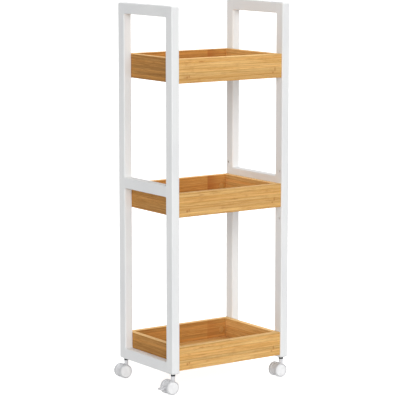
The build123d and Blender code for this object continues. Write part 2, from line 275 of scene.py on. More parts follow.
@dataclass(frozen=True)
class TwoToneFinish(Finish):
    """A finish of one tone, with a second laid over it where its patterns say."""

    _: KW_ONLY
    tone: str
    second_tone: str
    patterns: Patterns
    # which pattern gives the gloss and which the relief
    gloss: int = 0
    relief: int = 0
    # a second pattern in the relief, and its share
    below: tuple[int, float] | None = None

    def paint(self, tree: NodeTree, where: Sequence[Node]) -> Painted:
        """Draw the patterns one after another.

        Args:
            tree: The material's tree.
            where: The coordinates along, across and through, in millimetres.

        Returns:
            The colour, the gloss pattern and the height pattern.
        """
        colour = self.tone
        noises = []
        for sizes, detail, warp, fade in self.patterns:
            noises.append(self.stretched_noise(tree, where, sizes, detail, warp))
            if fade:
                colour = self.laid_over(tree, colour, self.second_tone, noises[-1], fade)
        height = noises[self.relief]
        if self.below:
            number, share = self.below
            values = (noises[number], share, height)
            height = add_node(tree, "ShaderNodeMath", MULTIPLY_ADD, values)
        return colour, noises[self.gloss], height


@dataclass(frozen=True)
class SprayedLacquer(TwoToneFinish):
    """White polyurethane lacquer, sprayed on beech and rubbed down between coats.

    It is satin, with a faint orange peel, and the wood's grain just shows through as long
    shallow lines.
    """

    run: Run = Run.ALONG_Z
    _: KW_ONLY
    tone: str = "#ebecec"
    second_tone: str = "#e6e7e8"
    # soft clouds, the grain and the orange peel, which is really about 1 mm across and is
    # drawn twice as coarse so that it shows
    patterns: Patterns = (
        ((160.0, 60.0, 60.0), 2.0, 0.0, (0.35, 0.65, 0.0, 1.0)),
        ((140.0, 2.4, 2.4), 3.0, 0.3, (0.56, 0.70, 0.0, 0.35)),
        ((2.2, 2.2, 2.2), 2.0, 0.0, None),
    )
    gloss: int = 2
    relief: int = 2
    below: tuple[int, float] | None = (1, 0.5)
    roughness: Point = (0.33, 0.43)
    fixed: tuple[tuple[str, float], ...] = (("IOR", 1.5),)


@dataclass(frozen=True)
class LaminatedBamboo(Finish):
    """Carbonised bamboo: planed strips glued edge to edge, sanded and sealed with satin lacquer.

    It shows straight fine fibres, strips that differ a little in tone, and short darker marks
    where a cane had its nodes.
    """

    run: Run = Run.ALONG_X_UPRIGHT
    seed: float = 0.0
    pale: str = "#e9bf7d"
    middle: str = "#d7a660"
    deep: str = "#a8703a"
    node_tone: str = "#a05a28"
    warm_tone: str = "#dd9a4c"
    warm_fade: Fade = (0.4, 1.0, 0.0, 0.30)
    strip_width: float = 6.75
    # the lowest strip is cut, so that no glue line lies in a rim
    first_strip: float = 3.2
    # how far the pattern moves along from one strip to another
    strip_shift: float = 431.0
    strip_fade: Fade = (0.0, 1.0, 0.89, 1.07)
    # the real glue line is a tenth of a millimetre; it is drawn wider so that it shows
    glue_fade: Fade = (0.0, 0.10, 0.42, 0.0)
    # each pattern's patch size, detail and warp
    streaks: Patch = ((150.0, 2.2, 2.2), 3.0, 0.4)
    streak_fade: Fade = (0.36, 0.64, 0.0, 1.0)
    fibres: Patch = ((38.0, 0.8, 0.8), 4.0, 0.2)
    fibre_fade: Fade = (0.50, 0.68, 0.0, 0.6)
    pores: Patch = ((9.0, 0.45, 0.45), 1.0, 0.0)
    pore_fade: Fade = (0.60, 0.74, 0.0, 0.45)
    node_pitch: float = 287.0
    node_fade: Fade = (0.0, 7.0, 0.13, 0.0)
    # each mark: its place along and across, and half its length and width
    marks: tuple[tuple[float, float, float, float], ...] = ()
    mark_fade: Fade = (0.2, 1.3, 0.5, 0.0)
    # a darker band from one place along to another, which rises fast and falls slowly
    band: Point | None = None
    band_depth: float = 0.3
    band_rise: float = 1.0
    # the band starts at the board's inner face and doesn't reach its outer one
    band_reach: Fade = (96.0, 101.0, 1.0, 0.0)
    # the rim's top is painted paler: a painted highlight where the light falls on it
    rim_height: float | None = None
    rim_edge: Point = (0.9, 0.3)
    rim_highlight_tone: str = "#f4cf93"
    rim_highlight_amount: float = 0.6
    _: KW_ONLY
    roughness: Point = (0.58, 0.72)
    relief_mm: float = 0.03
    fixed: tuple[tuple[str, float], ...] = (("IOR", 1.5), ("Specular IOR Level", 0.1))

    def paint(self, tree: NodeTree, where: Sequence[Node]) -> Painted:
        """Draw the streaks, fibres and pores of each strip, its tone, nodes, glue line and the
        painted highlight on its rim.

        Args:
            tree: The material's tree.
            where: The coordinates along, across and through, in millimetres.

        Returns:
            The colour, the gloss pattern and the height pattern.
        """
        chance, edge = self.strips(tree, where[1])
        strip = chance.outputs["Value"]
        hue = add_node(tree, "ShaderNodeSeparateColor", inputs=(chance.outputs["Color"],))
        values = (strip, self.strip_shift, where[0])
        shifted = add_node(tree, "ShaderNodeMath", MULTIPLY_ADD, values)
        own = (shifted, where[1], where[2])
        streak, fibre, pore = (
            self.stretched_noise(tree, own, *patch)
            for patch in (self.streaks, self.fibres, self.pores)
        )
        colour = self.laid_over(tree, self.pale, self.middle, streak, self.streak_fade)
        hue = hue.outputs["Green"]
        colour = self.laid_over(tree, colour, self.warm_tone, hue, self.warm_fade)
        colour = self.laid_over(tree, colour, self.deep, fibre, self.fibre_fade)
        colour = self.laid_over(tree, colour, self.deep, pore, self.pore_fade)
        own_tone = add_node(tree, "ShaderNodeMapRange", SMOOTH, (strip, *self.strip_fade))
        grey = add_node(tree, "ShaderNodeCombineXYZ", inputs=[own_tone] * 3)
        for blend, amount, tone in (
            ("MULTIPLY", 1.0, grey),
            ("MIX", self.nodes(tree, where, shifted), linear(self.node_tone)),
        ):
            values = {0: amount, 6: colour, 7: tone}
            settings = {**BLEND, "blend_type": blend}
            colour = add_node(tree, "ShaderNodeMix", settings, values).outputs[2]
        colour = self.laid_over(tree, colour, self.deep, edge, self.glue_fade)
        # painted highlight: the top of the rim is drawn paler, as if lit from above
        if self.rim_height:
            first, last = (self.rim_height - below for below in self.rim_edge)
            fade = (first, last, 0.0, self.rim_highlight_amount)
            colour = self.laid_over(tree, colour, self.rim_highlight_tone, where[1], fade)
        return colour, fibre, fibre

    def strips(self, tree: NodeTree, across: Node) -> tuple[Node, Node]:
        """Part the board into its strips.

        Args:
            tree: The material's tree.
            across: The coordinate across the board.

        Returns:
            The random values of each strip's own, and how far a spot is from a glue line.
        """
        share = 1 / self.strip_width
        values = (across, share, self.first_strip * share)
        number = add_node(tree, "ShaderNodeMath", MULTIPLY_ADD, values)
        whole = add_node(tree, "ShaderNodeMath", FLOOR, (number,))
        seeded = add_node(tree, "ShaderNodeMath", ADD, (whole, self.seed + 0.5))
        chance = add_node(
            tree, "ShaderNodeTexWhiteNoise", {"noise_dimensions": "1D"}, {"W": seeded}
        )
        return chance, add_node(tree, "ShaderNodeMath", PINGPONG, (number, 0.5))

    def nodes(self, tree: NodeTree, where: Sequence[Node], shifted: Node) -> Node:
        """Draw the cane's nodes, one in each strip at its own place, the marks that stand out, and
        a darker band where one is given.

        Args:
            tree: The material's tree.
            where: The coordinates along, across and through.
            shifted: The coordinate along, with each strip's own shift.

        Returns:
            How dark the node tone is, 0 to 1.
        """
        turn = add_node(tree, "ShaderNodeMath", PINGPONG, (shifted, self.node_pitch / 2))
        total = add_node(tree, "ShaderNodeMapRange", SMOOTH, (turn, *self.node_fade))
        for along, across, half_length, half_width in self.marks:
            reach = []
            for coordinate, centre, half in zip(where, (along, across), (half_length, half_width)):
                offset = add_node(tree, "ShaderNodeMath", SUBTRACT, (coordinate, centre))
                reach.append(add_node(tree, "ShaderNodeMath", DIVIDE, (offset, half)))
            flat = add_node(tree, "ShaderNodeCombineXYZ", inputs=reach)
            away = add_node(tree, "ShaderNodeVectorMath", LENGTH, (flat,)).outputs["Value"]
            spot = add_node(tree, "ShaderNodeMapRange", SMOOTH, (away, *self.mark_fade))
            total = add_node(tree, "ShaderNodeMath", MAXIMUM, (total, spot))
        if self.band:
            (first, last), rise = self.band, self.band_rise
            band: Any = 1.0
            for coordinate, fade in (
                (where[0], (first - rise, first + rise, 0.0, self.band_depth)),
                (where[0], (first + 2 * rise, last, 1.0, 0.0)),
                (where[2], self.band_reach),
            ):
                part = add_node(tree, "ShaderNodeMapRange", SMOOTH, (coordinate, *fade))
                band = add_node(tree, "ShaderNodeMath", MULTIPLY, (band, part))
            total = add_node(tree, "ShaderNodeMath", MAXIMUM, (total, band))
        return total


@dataclass(frozen=True)
class MouldedPlastic(TwoToneFinish):
    """Injection-moulded plastic from a spark-eroded mould: matt, with a fine even grain."""

    _: KW_ONLY
    tone: str = "#f5f5f6"
    second_tone: str = "#efeff0"
    # faint clouds and the mould's grain, which is really about 0.1 mm and is drawn coarser
    patterns: Patterns = (
        ((9.0, 9.0, 9.0), 2.0, 0.0, (0.35, 0.65, 0.0, 1.0)),
        ((0.45, 0.45, 0.45), 2.0, 0.0, None),
    )
    gloss: int = 1
    relief: int = 1
    roughness: Point = (0.38, 0.52)
    fixed: tuple[tuple[str, float], ...] = (("IOR", 1.53),)


@dataclass(frozen=True)
class WheelNylon(MouldedPlastic):
    """Moulded white nylon of a caster's wheels, with painted shade in the groove round the disc and
    on the tread.
    """

    _: KW_ONLY
    axle_x: float = 0.0
    axle_z: float = 0.0
    groove_radii: Point = (13.4, 14.3)
    # how far the painted shade in the groove fades beyond the groove's edge, and inside it
    groove_shade_reach: Point = (0.1, 0.2)
    groove_shade_tone: str = "#838486"
    tread_shade_fade: Fade = (15.0, 15.9, 0.0, 1.0)
    tread_shade_tone: str = "#d0d1d3"

    def paint(self, tree: NodeTree, where: Sequence[Node]) -> Painted:
        """Draw the plain nylon, and paint shade into the groove round the disc and onto the tread.

        Args:
            tree: The material's tree.
            where: The coordinates along, across and through, in millimetres.

        Returns:
            The colour, the gloss pattern and the height pattern.
        """
        colour, gloss, height = super().paint(tree, where)
        offsets = [
            add_node(tree, "ShaderNodeMath", SUBTRACT, (coordinate, centre))
            for coordinate, centre in ((where[0], self.axle_x), (where[2], self.axle_z))
        ]
        flat = add_node(tree, "ShaderNodeCombineXYZ", inputs=offsets)
        radius = add_node(tree, "ShaderNodeVectorMath", LENGTH, (flat,)).outputs["Value"]
        (first, last), (beyond, inside) = self.groove_radii, self.groove_shade_reach
        rise, fall = (
            add_node(tree, "ShaderNodeMapRange", SMOOTH, (radius, *fade))
            for fade in (
                (first - beyond, first + inside, 0.0, 1.0),
                (last - inside, last + beyond, 1.0, 0.0),
            )
        )
        # painted shade: the groove round the disc is drawn dark
        groove_shade_amount = add_node(tree, "ShaderNodeMath", MULTIPLY, (rise, fall))
        values = {0: groove_shade_amount, 6: colour, 7: linear(self.groove_shade_tone)}
        colour = add_node(tree, "ShaderNodeMix", BLEND, values).outputs[2]
        # painted shade: the whole tread is drawn greyer
        colour = self.laid_over(tree, colour, self.tread_shade_tone, radius, self.tread_shade_fade)
        return colour, gloss, height


@dataclass(frozen=True)
class PlatedSteel(TwoToneFinish):
    """Steel with a thin plating or oxide: turned or cast, with faint marks and duller patches."""

    _: KW_ONLY
    tone: str = "#c6c9cc"
    second_tone: str = "#a4a7a9"
    # the duller patches and the tool's marks
    patterns: Patterns = (
        ((3.0, 3.0, 3.0), 3.0, 0.0, (0.35, 0.65, 0.0, 1.0)),
        ((6.0, 6.0, 0.25), 2.0, 0.0, None),
    )
    relief: int = 1
    roughness: Point = (0.24, 0.40)
    relief_mm: float = 0.006
    fixed: tuple[tuple[str, float], ...] = (("Metallic", 1.0),)


@dataclass(frozen=True)
class RawBeech(TwoToneFinish):
    """Unfinished beech: even tan wood with short darker flecks along the grain."""

    run: Run = Run.ALONG_Y_UPRIGHT
    _: KW_ONLY
    tone: str = "#b28d63"
    second_tone: str = "#85603a"
    # the flecks and the growth rings
    patterns: Patterns = (
        ((3.0, 0.5, 0.5), 2.0, 0.0, (0.52, 0.68, 0.0, 0.8)),
        ((40.0, 2.0, 2.0), 3.0, 0.0, (0.4, 0.7, 0.0, 0.4)),
    )
    roughness: Point = (0.6, 0.78)
    relief_mm: float = 0.03


# ---- helpers for meshes ----
def dress(names: Iterable[str], material: Material) -> None:
    """Put one finish on CAD nodes.

    Args:
        names: The nodes' names.
        material: Their finish.
    """
    for name in names:
        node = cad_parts[name]
        node.data.materials.clear()
        node.data.materials.append(material)
        LOG.info("dressed %s in %s", name, material.name)


def smooth_piece(name: str, mesh: Mesh, limit_deg: float = 32.0) -> Object:
    """Link a mesh as a piece, shaded smooth up to an angle.

    Args:
        name: The piece's name.
        mesh: Its mesh, already in place.
        limit_deg: Edges sharper than this stay crisp.

    Returns:
        The piece.
    """
    piece = bpy.data.objects.new(name, mesh)
    bpy.context.scene.collection.objects.link(piece)
    mesh.shade_smooth()
    mesh.set_sharp_from_angle(angle=math.radians(limit_deg))
    return piece


def settle(piece: Object, body: str, stands_for: Sequence[str] = ()) -> None:
    """Declare a finished piece: its body and the CAD nodes it stands for.

    Args:
        piece: The finished piece.
        body: The CAD body it moves with.
        stands_for: The CAD nodes that it replaces.
    """
    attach(piece, body)
    if stands_for:
        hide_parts(*stands_for)
    LOG.info("%s: %d faces on body %s", piece.name, len(piece.data.polygons), body)


def wear_one(mesh: Mesh, material: Material) -> None:
    """Leave a mesh with one material slot, which all its faces use.

    Args:
        mesh: The mesh.
        material: Its finish.
    """
    mesh.materials.clear()
    mesh.materials.append(material)
    mesh.polygons.foreach_set("material_index", [0] * len(mesh.polygons))


# ---- pieces that repeat ----
@dataclass(frozen=True)
class PointSet:
    """Pieces that all have one shape, set out on points by a geometry tree."""

    name: str
    inputs: ClassVar[Inputs] = ()
    weld: ClassVar[float] = 1e-6
    # whether a piece turns its Z to its point's facing, or takes the facing as three angles
    faces_out: ClassVar[bool] = True
    smooth_deg: ClassVar[float] = 32.0

    def unit(self, tree: NodeTree, size: Any) -> NodeSocket | Node:
        """Build one piece.

        Args:
            tree: The geometry tree.
            size: The tree's inputs by name.

        Returns:
            What gives the piece.
        """
        raise NotImplementedError

    def closed(self, tree: NodeTree, base: Node, top: Node, share: NodeSocket | Node) -> Node:
        """Draw in the top of a raised face, and close it below with the face itself.

        Args:
            tree: The geometry tree.
            base: The flat face.
            top: The node that raised it.
            share: How much of the top's size is left.

        Returns:
            The closed piece.
        """
        values = {"Geometry": top.outputs["Mesh"], "Selection": top.outputs["Top"], "Scale": share}
        drawn = add_node(tree, "GeometryNodeScaleElements", {"domain": "FACE"}, values)
        under = add_node(tree, "GeometryNodeFlipFaces", inputs={"Mesh": base})
        joined = add_node(tree, "GeometryNodeJoinGeometry")
        for part in (drawn, under):
            tree.links.new(part.outputs[0], joined.inputs[0])
        values = {"Geometry": joined, "Distance": self.weld}
        return add_node(tree, "GeometryNodeMergeByDistance", inputs=values)

    def tree(self) -> NodeTree:
        """Build the tree: one piece on each point, realised, with its material.

        Returns:
            The geometry tree, with its sizes as named inputs.
        """
        tree = bpy.data.node_groups.new(f"{self.name} on points", "GeometryNodeTree")
        socket = tree.interface.new_socket
        socket("Geometry", in_out="INPUT", socket_type="NodeSocketGeometry")
        for label, name, unit in self.inputs:
            entry = socket(label, in_out="INPUT", socket_type="NodeSocketFloat")
            entry.default_value = getattr(self, name) * unit
        socket("Material", in_out="INPUT", socket_type="NodeSocketMaterial")
        socket("Geometry", in_out="OUTPUT", socket_type="NodeSocketGeometry")
        size = add_node(tree, "NodeGroupInput").outputs
        kind = {"data_type": "FLOAT_VECTOR"}
        facing = add_node(tree, "GeometryNodeInputNamedAttribute", kind, {"Name": "facing"})
        turn = facing.outputs["Attribute"]
        if self.faces_out:
            kind = {"axis": "Z"}
            turn = add_node(tree, "FunctionNodeAlignRotationToVector", kind, {"Vector": turn})
        values = {"Points": size["Geometry"], "Instance": self.unit(tree, size), "Rotation": turn}
        spread = add_node(tree, "GeometryNodeInstanceOnPoints", inputs=values)
        real = add_node(tree, "GeometryNodeRealizeInstances", inputs=(spread,))
        values = {"Geometry": real, "Material": size["Material"]}
        done = add_node(tree, "GeometryNodeSetMaterial", inputs=values)
        add_node(tree, "NodeGroupOutput", inputs=(done,))
        return tree

    def mesh(
        self, places: Sequence[Place], facings: Sequence[Place], material: Material
    ) -> Mesh:
        """Make the whole set as one plain mesh.

        Args:
            places: Where each piece goes, in millimetres.
            facings: The way each one faces, or its turn about X, Y and Z in radians.
            material: Their finish.

        Returns:
            The plain mesh, with no modifier left.
        """
        points = bpy.data.meshes.new(f"{self.name}_points")
        points.from_pydata([Vector(place) * MM for place in places], [], [])
        facing = points.attributes.new("facing", "FLOAT_VECTOR", "POINT")
        facing.data.foreach_set("vector", [value for way in facings for value in way])
        carrier = bpy.data.objects.new(self.name + "_carrier", points)
        bpy.context.scene.collection.objects.link(carrier)
        modifier = carrier.modifiers.new("grow", "NODES")
        modifier.node_group = self.tree()
        for item in modifier.node_group.interface.items_tree:
            if item.in_out == "INPUT" and item.name == "Material":
                modifier[item.identifier] = material
        graph = bpy.context.evaluated_depsgraph_get()
        mesh = bpy.data.meshes.new_from_object(carrier.evaluated_get(graph), depsgraph=graph)
        carrier.modifiers.remove(modifier)
        bpy.data.objects.remove(carrier)
        mesh.name = self.name
        wear_one(mesh, material)
        return mesh

    def make(
        self, places: Sequence[Place], facings: Sequence[Place], material: Material
    ) -> Object:
        """Make the whole set as one piece.

        Args:
            places: Where each one goes, in millimetres.
            facings: The way each one faces, or its turn about X, Y and Z in radians.
            material: Their finish.

        Returns:
            The piece, not yet on a body.
        """
        return smooth_piece(self.name, self.mesh(places, facings, material), self.smooth_deg)


@dataclass(frozen=True)
class RoundSet(PointSet):
    """Round washers, caps or sleeves. Each point is the middle of one's base."""

    radius: float
    height: float
    bore: float
    chamfer: float
    sides: int = 56
    inputs: ClassVar[Inputs] = (
        ("Radius", "radius", MM),
        ("Height", "height", MM),
        ("Bore Radius", "bore", MM),
        ("Chamfer", "chamfer", MM),
    )

    def unit(self, tree: NodeTree, size: Any) -> NodeSocket | Node:
        """Build a chamfered disc, drilled when it has a bore.

        Args:
            tree: The geometry tree.
            size: The tree's inputs by name.

        Returns:
            What gives the piece.
        """
        whole = {"fill_type": "NGON"}
        values = {"Vertices": self.sides, "Radius": size["Radius"]}
        base = add_node(tree, "GeometryNodeMeshCircle", whole, values)
        less = add_node(tree, "ShaderNodeMath", MULTIPLY, (size["Chamfer"], -1.0))
        wall = add_node(tree, "ShaderNodeMath", ADD, (size["Height"], less))
        faces = {"mode": "FACES"}
        values = {"Mesh": base, "Offset Scale": wall, "Individual": False}
        raised = add_node(tree, "GeometryNodeExtrudeMesh", faces, values)
        values = {
            "Mesh": raised.outputs["Mesh"],
            "Selection": raised.outputs["Top"],
            "Offset Scale": size["Chamfer"],
            "Individual": False,
        }
        top = add_node(tree, "GeometryNodeExtrudeMesh", faces, values)
        narrow = add_node(tree, "ShaderNodeMath", SUBTRACT, (size["Radius"], size["Chamfer"]))
        share = add_node(tree, "ShaderNodeMath", DIVIDE, (narrow, size["Radius"]))
        solid = self.closed(tree, base, top, share)
        if not self.bore > 0:
            return solid
        values = {
            "Vertices": self.sides, "Radius": size["Bore Radius"], "Depth": 4 * self.height * MM
        }
        drill = add_node(tree, "GeometryNodeMeshCylinder", whole, values)
        cut = {"operation": "DIFFERENCE", "solver": "EXACT"}
        return add_node(tree, "GeometryNodeMeshBoolean", cut, {"Mesh 1": solid, "Mesh 2": drill})


@dataclass(frozen=True)
class HexNutSet(PointSet):
    """Chamfered hexagon nuts. Each point is the middle of one."""

    name: str = "stem_nuts"
    across_flats: float = 10.0
    height: float = 5.0
    bore: float = 3.0
    corner_cut: float = 0.45
    chamfer_deg: float = 30.0
    round_sides: int = 64
    smooth_deg: ClassVar[float] = 20.0
    inputs: ClassVar[Inputs] = (
        ("Corner Radius", "corner", MM),
        ("Height", "height", MM),
        ("Bore Radius", "bore", MM),
    )

    @property
    def corner(self) -> float:
        """Give the radius at the hexagon's corners.

        Returns:
            The radius, in millimetres.
        """
        return self.across_flats / 2 / math.cos(math.pi / 6)

    def unit(self, tree: NodeTree, size: Any) -> NodeSocket | Node:
        """Build a hexagon prism, cut by a cone at each end and drilled.

        Args:
            tree: The geometry tree.
            size: The tree's inputs by name.

        Returns:
            What gives the piece.
        """
        whole = {"fill_type": "NGON"}
        values = {"Vertices": 6, "Radius": size["Corner Radius"], "Depth": size["Height"]}
        nut = add_node(tree, "GeometryNodeMeshCylinder", whole, values)
        length = self.height + self.corner_cut
        narrow = self.corner - self.corner_cut
        wide = narrow + length / math.tan(math.radians(self.chamfer_deg))
        both = {"operation": "INTERSECT", "solver": "EXACT"}
        for bottom, top, lift in (
            (narrow, wide, -self.height / 2),
            (wide, narrow, self.height / 2 - length),
        ):
            values = {
                "Vertices": self.round_sides,
                "Radius Top": top * MM,
                "Radius Bottom": bottom * MM,
                "Depth": length * MM,
            }
            cone = add_node(tree, "GeometryNodeMeshCone", whole, values)
            values = {"Geometry": cone, "Translation": (0.0, 0.0, lift * MM)}
            moved = add_node(tree, "GeometryNodeTransform", inputs=values)
            cut = add_node(tree, "GeometryNodeMeshBoolean", both)
            for part in (nut, moved):
                tree.links.new(part.outputs[0], cut.inputs["Mesh 2"])
            nut = cut
        values = {
            "Vertices": self.round_sides,
            "Radius": size["Bore Radius"],
            "Depth": 3 * self.height * MM,
        }
        drill = add_node(tree, "GeometryNodeMeshCylinder", whole, values)
        less = {"operation": "DIFFERENCE", "solver": "EXACT"}
        return add_node(tree, "GeometryNodeMeshBoolean", less, {"Mesh 1": nut, "Mesh 2": drill})


@dataclass(frozen=True)
class RibSet(PointSet):
    """Small moulded ribs with drafted sides. Each point is the middle of one's foot."""

    length: float
    width: float
    height: float
    draft: float = 0.75
    faces_out: ClassVar[bool] = False
    inputs: ClassVar[Inputs] = (
        ("Length", "length", MM),
        ("Width", "width", MM),
        ("Height", "height", MM),
        ("Crest Share", "draft", 1.0),
    )

    def unit(self, tree: NodeTree, size: Any) -> NodeSocket | Node:
        """Build a bar with drafted sides.

        Args:
            tree: The geometry tree.
            size: The tree's inputs by name.

        Returns:
            What gives the piece.
        """
        values = {
            "Size X": size["Length"], "Size Y": size["Width"], "Vertices X": 2, "Vertices Y": 2
        }
        plan = add_node(tree, "GeometryNodeMeshGrid", inputs=values)
        values = {"Mesh": plan, "Offset Scale": size["Height"], "Individual": False}
        raised = add_node(tree, "GeometryNodeExtrudeMesh", {"mode": "FACES"}, values)
        return self.closed(tree, plan, raised, size["Crest Share"])


# ---- sub-assemblies ----
@dataclass(frozen=True)
class SideFrames:
    """The two ladder frames: posts, rails and the raw insides of the spare holes; their dowels are
    dressed with the hidden fittings.
    """

    post_inner_x: float = 140.0
    hole_y: float = 100.0
    hole_heights: tuple[float, ...] = (369.0, 477.0)
    hole_radius: float = 2.5
    hole_depth: float = 11.5
    liner_wall: float = 0.18
    liner_gap: float = 0.02
    liner_setback: float = 0.5

    def dress_wood(self) -> None:
        """Lacquer the posts and rails, each with its grain along its length."""
        title = "Polyurethane lacquer on beech, sprayed satin white,"
        upright = SprayedLacquer(f"{title} posts").material()
        across = SprayedLacquer(f"{title} rails", Run.ALONG_Y_UPRIGHT).material()
        for side in Side:
            word = side.name.lower()
            dress([f"{word}_{end}_post" for end in ("front", "rear")], upright)
            dress([f"{word}_{rail}_rail" for rail in ("bottom", "middle", "top")], across)

    def hole_liners(self, beech: Material) -> None:
        """Show the drilled wood inside the spare holes, which the lacquer doesn't reach.

        Args:
            beech: The raw wood's finish.
        """
        inner = self.post_inner_x + self.liner_setback
        places = []
        facings = []
        for side in Side:
            for end in (-1, 1):
                for height in self.hole_heights:
                    places.append((side.value * inner, end * self.hole_y, height))
                    facings.append((float(side.value), 0.0, 0.0))
        radius = self.hole_radius - self.liner_gap
        depth = self.hole_depth - self.liner_setback - self.liner_gap
        bore = radius - self.liner_wall
        sleeve = RoundSet("spare_hole_liners", radius, depth, bore, self.liner_gap)
        settle(sleeve.make(places, facings, beech), "cart")


@dataclass(frozen=True)
class BambooTrays:
    """The three open trays: five boards each, with the caps over their cam locks."""

    levels: tuple[tuple[str, float], ...] = (("lower", 51.5), ("middle", 396.0), ("upper", 691.0))
    tray_height: float = 54.0
    cam_x: float = 116.0
    wall_inner_y: float = 94.0
    cap_radius: float = 6.7
    cap_height: float = 0.9
    cap_chamfer: float = 0.35
    front_marks: tuple[tuple[float, float, float, float], ...] = (
        (-118.0, 13.0, 3.2, 3.8),
        (-112.5, 15.0, 2.6, 3.0),
        (121.0, 20.0, 2.6, 5.0),
        (115.5, 13.0, 3.0, 2.4),
        (-80.0, 46.5, 9.0, 1.7),
    )
    back_band: Point = (76.0, 122.0)
    band_depths: dict[str, float] = field(
        default_factory=lambda: {"lower": 0.3, "middle": 0.62, "upper": 0.5}
    )
    floor_strip: float = 18.0
    # from one tray to the next, so that no two boards are alike
    seed_step: float = 17.0
    # the left and back boards get darker tones: painted shade, for the left boards' outer faces
    # turned from the light and the back boards' inner faces in the shade inside the tray
    left_tones: tuple[str, str, str] = ("#cb9755", "#b17c40", "#7f4c22")
    back_tones: tuple[str, str, str] = ("#cb9b58", "#bb8546", "#92592b")

    def dress_boards(self) -> None:
        """Give each board its own bamboo, with the grain along it."""
        for number, (name, level) in enumerate(self.levels):
            title = f"Carbonised bamboo, edge-laminated and sanded satin, {name} tray"
            up = (0.0, level, 0.0)
            seed = self.seed_step * number
            rim = self.tray_height
            # the back and left boards take the darker tones of painted shade
            for wall, run, shift, tones, extra in (
                ("front", Run.ALONG_X_UPRIGHT, 0, (), {"marks": self.front_marks}),
                (
                    "back", Run.ALONG_X_UPRIGHT, 5, self.back_tones,
                    {"band": self.back_band, "band_depth": self.band_depths[name]},
                ),
                ("left", Run.ALONG_Y_UPRIGHT, 9, self.left_tones, {}),
                ("right", Run.ALONG_Y_UPRIGHT, 21, (), {}),
            ):
                label = f"{title} {wall} end" if wall in ("left", "right") else f"{title} {wall}"
                finish = LaminatedBamboo(
                    label, run, up, seed + shift, *tones, rim_height=rim, **extra
                )
                dress([f"{name}_tray_{wall}"], finish.material())
            floor = LaminatedBamboo(
                f"{title} floor", Run.ALONG_X_FLAT, seed=seed + 13, strip_width=self.floor_strip
            )
            dress([f"{name}_tray_floor"], floor.material())

    def cam_caps(self, plastic: Material) -> None:
        """Make the caps over the cam locks, inside the long walls.

        Args:
            plastic: Their finish.
        """
        places = []
        facings = []
        for _, level in self.levels:
            for side in Side:
                for end in (-1, 1):
                    height = level + self.tray_height / 2
                    places.append((side.value * self.cam_x, end * self.wall_inner_y, height))
                    facings.append((0.0, float(-end), 0.0))
        cap = RoundSet("cam_caps", self.cap_radius, self.cap_height, 0.0, self.cap_chamfer)
        settle(cap.make(places, facings, plastic), "cart", ["cam_covers"])


@dataclass(frozen=True)
class HiddenFittings:
    """Dowels, cams, bolts, inserts and clips inside the wood and the hoods."""

    def dress_all(self, steel: Material, zinc: Material) -> None:
        """Give the hidden pieces their finishes.

        Args:
            steel: Bright zinc-plated steel.
            zinc: Dull cast zinc.
        """
        beech = RawBeech("Beech dowel, fluted and unfinished").material()
        dress(["frame_dowels", "tray_dowels"], beech)
        dress(["cam_bolts", "caster_inserts", "stem_clips", "caster_stems"], steel)
        dress(["cam_locks"], zinc)
        dress([f"{corner.word}_caster_axle" for corner in Corner], steel)


